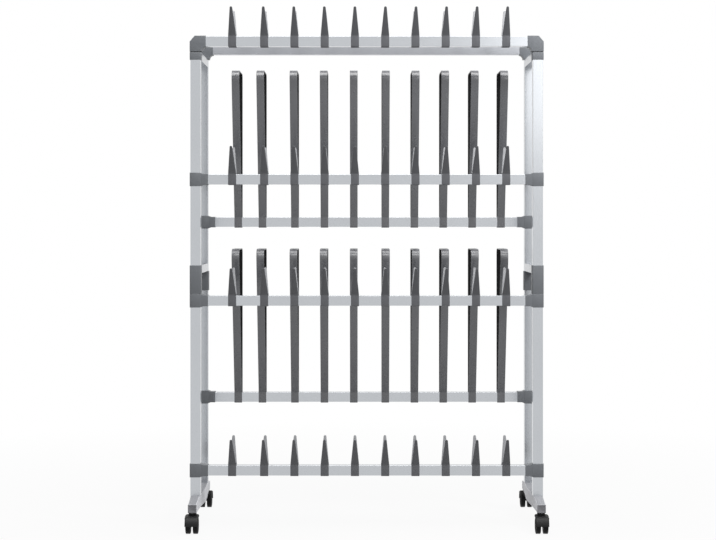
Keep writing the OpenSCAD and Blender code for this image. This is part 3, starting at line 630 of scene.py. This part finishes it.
class RACK_OT_shoe_holders(bpy.types.Operator):
    """Mould the two-pronged shoe holders on the four front rails"""

    bl_idname = "rack.shoe_holders"
    bl_label = "Shoe holders"

    def execute(self, context):
        sizes = context.scene.rack_sizes
        for row in ("top", "upper", "middle", "bottom"):
            node = "shoe_holders_" + row
            rail = middle("rail_front_" + row)
            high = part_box(node)[1].z - rail[2]
            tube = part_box("rail_front_" + row)[1].z - rail[2]
            one = self.holder(sizes, tube, high)
            parts = [moved(one, x=(lo[0] + hi[0]) / 2, y=rail[1], z=rail[2]) for lo, hi, _ in solids(node)]
            made = piece("shoe_prongs_" + row, joined(parts), "holder", "holder", "rack", node)
            self.paint_prong_light_and_shade(made, rail[1], rail[2] + tube + 2 * sizes.clip)
        return {"FINISHED"}

    def paint_prong_light_and_shade(self, made, rail_y, low):
        """Gives the front-facing sides of the rear prongs a paler colour as painted light, where they tilt up to
        the lamps, and those of the front prongs a darker colour as painted shade, where they tilt down."""
        made.data.materials.append(finish_of("prong_inside"))
        made.data.materials.append(finish_of("prong_outside"))
        count = len(made.data.polygons)
        normal, centre = np.empty(count * 3), np.empty(count * 3)
        made.data.polygons.foreach_get("normal", normal)
        made.data.polygons.foreach_get("center", centre)
        normal, centre = normal.reshape(-1, 3), centre.reshape(-1, 3)
        # Painted light on the rear prongs' fronts (inner) and painted shade on the front prongs' fronts (outer)
        ahead = (normal[:, 1] < -0.6) & (centre[:, 2] > low)
        inner, outer = ahead & (centre[:, 1] > rail_y), ahead & (centre[:, 1] < rail_y)
        made.data.polygons.foreach_set("material_index", (inner + 2 * outer).astype(np.int32))

    def holder(self, sizes, tube, high):
        seat = tube + sizes.clearance
        half = [self.half(sizes, seat, high, reach) for reach in (sizes.front_reach, sizes.rear_reach)]
        bridge_y = np.linspace(-1, 1, 7) * (seat + sizes.clip / 2)
        path = np.stack([bridge_y, np.full(7, seat + sizes.clip / 2)], axis=1)
        bridge = strip(path, np.full(7, sizes.shoe_width - 1 * MM), np.full(7, sizes.clip * 0.98))
        return joined([moved(half[0], flip_y=True), half[1], bridge])

    def half(self, sizes, seat, high, reach):
        """One strip: from a small hook under the rail up its side, and out to a round tip. Its width falls
        in a straight line from the rail to the tip, and then as a half circle."""
        beside = seat + sizes.clip / 2
        out = np.array([beside - 0.1 * MM, seat + sizes.clip])
        tip = np.array([reach - sizes.prong * 0.42, high - sizes.prong * 0.3])
        under = -seat - sizes.hook_strip / 2
        corners = np.array([[seat - sizes.hook, under], [beside, under], out, tip])
        path = rounded_path(corners, [0, 1.6 * MM, 9 * MM, 0], steps=6)
        rise = (tip - path[-2]) / np.linalg.norm(tip - path[-2])
        round_r = sizes.shoe_tip / 2
        steps = np.linspace(0, 1, 10)[1:] * (np.linalg.norm(tip - path[-2]) - round_r)
        prong = path[-2] + steps[:, None] * rise
        a = np.radians([15, 30, 45, 60, 72, 82])
        end = prong[-1] + (round_r * np.sin(a))[:, None] * rise
        line = np.concatenate([path[:-1], prong, end])
        shoulder = seat + 2.4 * MM
        share = np.clip((line[:, 1] - shoulder) / (high - round_r - shoulder), 0, 1)
        widths = sizes.shoe_width + share * (sizes.shoe_tip - sizes.shoe_width)
        widths[-len(a):] = sizes.shoe_tip * np.cos(a)
        thick = np.where(line[:, 1] < shoulder, sizes.clip, sizes.prong)
        thick[:7] = sizes.hook_strip
        thick[-len(a):] = sizes.prong * (0.35 + 0.65 * np.cos(a))
        return strip(line, widths, thick)


class RACK_OT_boot_holders(bpy.types.Operator):
    """Mould the tall looped boot holders on the two lower rear rails"""

    bl_idname = "rack.boot_holders"
    bl_label = "Boot holders"

    def execute(self, context):
        sizes = context.scene.rack_sizes
        for row in ("upper", "lower"):
            node = "boot_holders_" + row
            rail = middle("rail_rear_" + row)
            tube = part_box("rail_rear_" + row)[1].z - rail[2]
            one = self.loop(sizes, tube)
            parts = [moved(one, x=(lo[0] + hi[0]) / 2, y=rail[1], z=rail[2]) for lo, hi, _ in solids(node)]
            made = piece("boot_loops_" + row, joined(parts), "loop", "holder", "rack", node)
            # Faces 4 to 6 of each ring of the strip look inwards; they get a near-black colour as painted shade
            made.data.materials.append(finish_of("holder_inside"))
            side = np.arange(len(made.data.polygons)) % RING
            made.data.polygons.foreach_set("material_index", ((side > 3) & (side < 7)).astype(np.int32))
        return {"FINISHED"}

    def loop(self, sizes, tube):
        """A closed strip: under and behind the rail, straight up, over the top and slanting back down."""
        t = sizes.boot_strip
        line = tube + sizes.clearance + t / 2
        top = sizes.boot_height - t / 2
        corners = np.array([[-line, -line], [line, -line], [line, top], [line - sizes.boot_depth + t, top],
                            [-line, tube]])
        path = rounded_path(corners, [t, t, sizes.rear_bend, sizes.front_bend, 4 * t], steps=10, closed=True)
        count = len(path)
        return strip(path, np.full(count, sizes.boot_width), np.full(count, t), closed=True)


class RACK_OT_feet(bpy.types.Operator):
    """Mould the two feet and their end plugs"""

    bl_idname = "rack.feet"
    bl_label = "Feet"

    UP = 0.85  # Least upward part of a normal on the foot's back, which gets a darker colour as painted shade
    LENGTH, END_WIDTH, BULGE = 548, 28.6, 18  # In mm, as are the next two lines
    POST_HEIGHT, CROWN, END_DROP = 41, 3, 13.5
    WALL, EDGE = 3.2, 4
    POST_Y, HALF_TUBE = 150 * MM, 17 * MM

    def execute(self, context):
        for side in ("left", "right"):
            made = piece("foot_moulding_" + side, self.foot("foot_" + side), "foot", "foot", "rack",
                         "foot_" + side)
            # Faces that look up get the darker colour as painted shade
            made.data.materials.append(finish_of("foot_back"))
            up = np.empty(3 * len(made.data.polygons))
            made.data.polygons.foreach_get("normal", up)
            made.data.polygons.foreach_set("material_index", (up[2::3] > self.UP).astype(np.int32))
        plugs = [self.plug(lo, hi) for lo, hi, _ in solids("foot_end_plugs")]
        piece("foot_plug_faces", joined(plugs), "plug", "connector", "rack", "foot_end_plugs")
        return {"FINISHED"}

    def foot(self, node):
        """An arched shell. Half its width is the end's half plus a bulge that falls with the cosine's cube
        towards the ends. Its back is crowned between the posts, flat under them and falls to the ends.
        Inside, a cavity one wall in opens downwards."""
        low, high = (np.array(c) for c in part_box(node))
        centre = np.sign(low[0]) * (abs(low[0]) + abs(high[0])) / 2
        base = low[2]
        half = (high[1] - low[1]) / 2
        y = np.concatenate([[-half], np.linspace(-half + 0.6 * MM, half - 0.6 * MM, 95), [half]])
        a = np.abs(y)
        flat_in, flat_out = self.POST_Y - self.HALF_TUBE, self.POST_Y + self.HALF_TUBE
        crowned = self.POST_HEIGHT + self.CROWN * (1 - (a / flat_in) ** 2)
        falling = self.POST_HEIGHT - self.END_DROP * (a - flat_out) / (self.LENGTH / 2 * MM - flat_out)
        height = np.where(a < flat_in, crowned, np.where(a < flat_out, self.POST_HEIGHT, falling)) * MM
        wide = (self.END_WIDTH + self.BULGE * np.cos(math.pi * y / (self.LENGTH * MM)) ** 3) * MM
        wide[[0, -1]] -= 1 * MM
        height[[0, -1]] -= 0.5 * MM
        wall = self.WALL * MM
        deep = np.clip((half - 12 * MM - a) / (8 * MM), 0, 1)
        rings = []
        for yy, w, h, d in zip(y, wide, height, deep):
            r = self.EDGE * MM
            t = np.radians(np.linspace(0, 90, 6))
            right = np.stack([w / 2 - r + r * np.cos(t), h - r + r * np.sin(t)], axis=1)
            outer = np.concatenate([[[w / 2, 0]], right, right[::-1] * [-1, 1], [[-w / 2, 0]]])
            wi, hi = w / 2 - wall, max(d * (h - wall), 0.2 * MM)
            inner = np.array([[-wi, 0], [-wi, hi], [wi, hi], [wi, 0]])
            flat = np.concatenate([outer, inner])
            rings.append(np.stack([flat[:, 0] + centre, np.full(len(flat), yy), flat[:, 1] + base], axis=1))
        return loft(np.array(rings))

    def plug(self, low, high):
        """A square cover with rounded edges and a shallow dish, and its body behind."""
        wide, tall = high[0] - low[0], high[2] - low[2]
        front = low[1] < 0
        face = low[1] if front else high[1]
        rows = [(9.0, 22, 21), (2.4, 22, 21)]
        rows += [(2.5 - h / MM, wide / MM - 2 * d / MM, tall / MM - 2 * d / MM)
                 for h, d in edge_rounding(0.8 * MM, 2)]
        rows += [(h / MM, wide / MM - 2 * d / MM, tall / MM - 2 * d / MM)
                 for h, d in reversed(edge_rounding(1.0 * MM))]
        rows += [(0.0, wide / MM - 7, tall / MM - 7), (0.7, wide / MM - 9, tall / MM - 9)]
        rings = []
        for deep, w, h in rows:
            flat = rounded_rect(w * MM, h * MM, 1.5 * MM)
            y = face + deep * MM if front else face - deep * MM
            rings.append(np.stack([flat[:, 0] + (low[0] + high[0]) / 2, np.full(len(flat), y),
                                   flat[:, 1] + (low[2] + high[2]) / 2], axis=1))
        return loft(np.array(rings))


class RACK_OT_castors(bpy.types.Operator):
    """Mould the castor hoods and wheels, and finish the stems and axles"""

    bl_idname = "rack.castors"
    bl_label = "Castors"

    def execute(self, context):
        paint("castor_stems", "steel")
        for end in ("front", "rear"):
            for side in ("left", "right"):
                at = "%s_%s" % (end, side)
                body = "castor_" + at
                paint("castor_axle_" + at, "steel")
                self.hood("castor_hood_" + at, body)
                for place in ("outer", "inner"):
                    node = "wheel_%s_%s" % (at, place)
                    low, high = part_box(node)
                    axle = middle("castor_axle_" + at)
                    out = 1 if (low.x + high.x) / 2 > axle[0] else -1
                    shape = self.wheel(high.x - low.x, (high.z - low.z) / 2)
                    shape = moved(shape, x=low.x if out > 0 else high.x, y=axle[1], z=axle[2], flip_x=out < 0)
                    piece("castor_" + node, shape, "tyre", "wheel", node, node)
        return {"FINISHED"}

    def hood(self, node, body):
        """The CAD hood, merged, with its edges rounded."""
        bm = bmesh.new()
        bm.from_mesh(NODES[node].data)
        bmesh.ops.remove_doubles(bm, verts=bm.verts, dist=1e-6)
        bmesh.ops.dissolve_limit(bm, angle_limit=math.radians(0.5), verts=bm.verts, edges=bm.edges)
        verts = np.array([v.co[:] for v in bm.verts])
        faces = [tuple(v.index for v in f.verts) for f in bm.faces]
        bm.free()
        made = piece(node.replace("castor_hood", "castor_cover"), (verts, faces), "castor", "castor", body,
                     node)
        made.data.shade_smooth()
        bevel = made.modifiers.new("moulded_edges", "BEVEL")
        bevel.limit_method = "ANGLE"
        bevel.angle_limit = math.radians(32)
        bevel.width = 0.7 * MM
        bevel.segments = 2

    def wheel(self, width, radius):
        """A closed profile turned about X: bore, inner face, tread with round shoulders and two grooves,
        outer face with a rim, a dished web and a hub. Eight ribs stand in the web where the cosine of eight
        times the angle is high."""
        r = radius / MM
        w = width / MM
        s = 3.0
        arc = np.radians(np.linspace(0, 90, 6))
        inner = [(0.0, 3.05), (0.0, 9.0), (0.6, 9.6), (0.6, r - s - 2.4), (0.0, r - s - 1.8)]
        inner += [(s - s * math.cos(t), r - s + s * math.sin(t)) for t in arc]
        tread = []
        for c in (w * 0.38, w * 0.62):
            tread += [(c - 0.7, r), (c - 0.35, r - 0.5), (c + 0.35, r - 0.5), (c + 0.7, r)]
        outer = [(w - s + s * math.sin(t), r - s + s * math.cos(t)) for t in arc]
        outer += [(w, r - s - 1.6), (w - 0.5, r - s - 2.2), (w - 2.6, r - s - 3.6)]
        web = [(w - 2.6, x) for x in np.linspace(r - s - 4.2, 9.2, 6)]
        hub = [(w - 2.4, 8.0), (w - 0.9, 7.2), (w - 0.4, 6.4), (w - 0.2, 3.0), (w - 0.2, 0.6)]
        profile = np.array(inner + tread + outer + web + hub)
        bore_end = [(w - 3.4, 0.6), (w - 3.4, 3.05)]
        profile = np.concatenate([profile, bore_end])
        on_web = np.zeros(len(profile))
        start = len(inner) + len(tread) + len(outer)
        on_web[start:start + len(web)] = 1
        angle = np.radians(np.arange(0, 360, 5))
        rib = np.clip(np.cos(8 * angle) * 2.2 - 0.9, 0, 1)
        x = profile[None, :, 0] + on_web[None, :] * rib[:, None] * 1.5
        y = profile[None, :, 1] * np.cos(angle)[:, None]
        z = profile[None, :, 1] * np.sin(angle)[:, None]
        return loft(np.stack([x, y, z], axis=2) * MM, wrap=True)


# Each lamp's name, place, aim, size in m, power in W, and whether it is seen in reflections. The rear of the
# overhead panel and the side fill aren't: in them the tubes' tops clip to white from above and from behind.
LAMPS = (
    ("overhead_front", (0.2, -0.95, 4.2), (0.2, -0.95, 0.0), (3.4, 2.1), 115.5, True),
    ("overhead_rear", (0.2, 0.55, 4.2), (0.2, 0.55, 0.0), (3.4, 0.9), 49.5, False),
    ("front_panel", (0.3, -3.6, 4.4), (0.0, 0.0, 1.0), (2.6, 1.4), 55, True),
    ("side_panel", (2.6, -6.1, 3.1), (2.6, 0.0, 3.1), (3.0, 3.0), 48, True),
    ("side_fill", (1.8, -1.5, 2.5), (0.55, -0.15, 1.6), (0.5, 0.5), 48, False),
)


class RACK_OT_stage(bpy.types.Operator):
    """Set the floor, the lamps, the world and the camera"""

    bl_idname = "rack.stage"
    bl_label = "Stage"

    def execute(self, context):
        scene = context.scene
        scene.view_settings.view_transform = "Standard"
        self.world(scene)
        self.floor(scene)
        for lamp in LAMPS:
            self.lamp(scene, *lamp)
        camera = bpy.data.cameras.new("camera")
        view = bpy.data.objects.new("camera", camera)
        scene.collection.objects.link(view)
        view.location = CAMERA_PLACE
        view.rotation_euler = (math.pi / 2, 0, 0)
        camera.sensor_width = SENSOR_MM
        camera.lens = FOCAL_PX / PHOTO_SIZE[0] * camera.sensor_width
        camera.shift_y = (HORIZON_PX - PHOTO_SIZE[1] / 2) / PHOTO_SIZE[0]
        scene.camera = view
        return {"FINISHED"}

    def seen(self, tree):
        """1 on camera, glossy and transmission rays, else 0."""
        path = add(tree, "ShaderNodeLightPath")
        first = add(tree, "ShaderNodeMath", operation="MAXIMUM")
        tree.links.new(path.outputs["Is Camera Ray"], first.inputs[0])
        tree.links.new(path.outputs["Is Glossy Ray"], first.inputs[1])
        second = add(tree, "ShaderNodeMath", operation="MAXIMUM")
        tree.links.new(first.outputs[0], second.inputs[0])
        tree.links.new(path.outputs["Is Transmission Ray"], second.inputs[1])
        return second.outputs[0]

    def world(self, scene):
        """White where it is seen, and a soft grey-white light on the rack."""
        world = bpy.data.worlds.new("studio")
        scene.world = world
        world.use_nodes = True
        tree = world.node_tree
        tree.nodes.clear()
        level = add(tree, "ShaderNodeMapRange", [(self.seen(tree), "Value")], To_Min=0.38, To_Max=1.0)
        sky = add(tree, "ShaderNodeBackground", [(level.outputs[0], "Strength")], Color=linear("FFFFFF"))
        out = add(tree, "ShaderNodeOutputWorld")
        tree.links.new(sky.outputs[0], out.inputs["Surface"])

    def floor(self, scene):
        """A pale disc that keeps a faint shadow near the rack and fades to plain white away from it."""
        a = np.linspace(0, 2 * math.pi, 64, endpoint=False)
        verts = np.column_stack([14 * np.cos(a), 14 * np.sin(a), np.zeros(64)])
        mesh = bpy.data.meshes.new("floor")
        mesh.from_pydata(verts.tolist(), [], [tuple(range(64))])
        floor = bpy.data.objects.new("floor", mesh)
        scene.collection.objects.link(floor)
        material = bpy.data.materials.new("studio_floor")
        material.use_nodes = True
        tree = material.node_tree
        tree.nodes.clear()
        matt = add(tree, "ShaderNodeBsdfDiffuse", Color=linear("A8A8A8"))
        white = add(tree, "ShaderNodeEmission", Color=linear("FFFFFF"))
        place = add(tree, "ShaderNodeTexCoord")
        away = add(tree, "ShaderNodeVectorMath", [(place.outputs["Object"], 0)], operation="LENGTH")
        fade = add(tree, "ShaderNodeMapRange", [(away.outputs["Value"], "Value")], From_Min=0.8, From_Max=3.0,
                   To_Min=0.93, To_Max=1.0)
        share = add(tree, "ShaderNodeMath", [(self.seen(tree), 0), (fade.outputs[0], 1)],
                    operation="MULTIPLY")
        both = add(tree, "ShaderNodeMixShader",
                   [(share.outputs[0], 0), (matt.outputs[0], 1), (white.outputs[0], 2)])
        out = add(tree, "ShaderNodeOutputMaterial")
        tree.links.new(both.outputs[0], out.inputs["Surface"])
        mesh.materials.append(material)

    def lamp(self, scene, name, place, aim, size, power, mirrored):
        light = bpy.data.lights.new(name, "AREA")
        light.shape = "RECTANGLE"
        light.size, light.size_y = size
        light.energy = power
        lamp = bpy.data.objects.new(name, light)
        scene.collection.objects.link(lamp)
        lamp.visible_glossy = mirrored
        lamp.location = place
        lamp.rotation_euler = (Vector(aim) - Vector(place)).to_track_quat("-Z", "Y").to_euler()


class RACK_PT_panel(bpy.types.Panel):
    """The rack's pieces"""

    bl_idname = "RACK_PT_panel"
    bl_label = "Shoe and boot rack"
    bl_space_type = "VIEW_3D"
    bl_region_type = "UI"
    bl_category = "Rack"

    def draw(self, context):
        for operator in OPERATORS:
            self.layout.operator(operator.bl_idname)
        for group in (context.scene.rack_sizes, context.scene.rack_colours):
            column = self.layout.column()
            for key in group.bl_rna.properties.keys():
                if key not in ("rna_type", "name"):
                    column.prop(group, key)


OPERATORS = (RACK_OT_tubes, RACK_OT_connectors, RACK_OT_screws, RACK_OT_shoe_holders, RACK_OT_boot_holders,
             RACK_OT_feet, RACK_OT_castors, RACK_OT_stage)
CLASSES = (RackSizes, RackColours) + OPERATORS + (RACK_PT_panel,)


def register():
    for cls in CLASSES:
        bpy.utils.register_class(cls)
    bpy.types.Scene.rack_sizes = bpy.props.PointerProperty(type=RackSizes)
    bpy.types.Scene.rack_colours = bpy.props.PointerProperty(type=RackColours)


def unregister():
    del bpy.types.Scene.rack_colours
    del bpy.types.Scene.rack_sizes
    for cls in reversed(CLASSES):
        bpy.utils.unregister_class(cls)


def main():
    register()
    for operator in OPERATORS:
        group, name = operator.bl_idname.split(".")
        getattr(getattr(bpy.ops, group), name)()


if __name__ == "__main__":
    main()
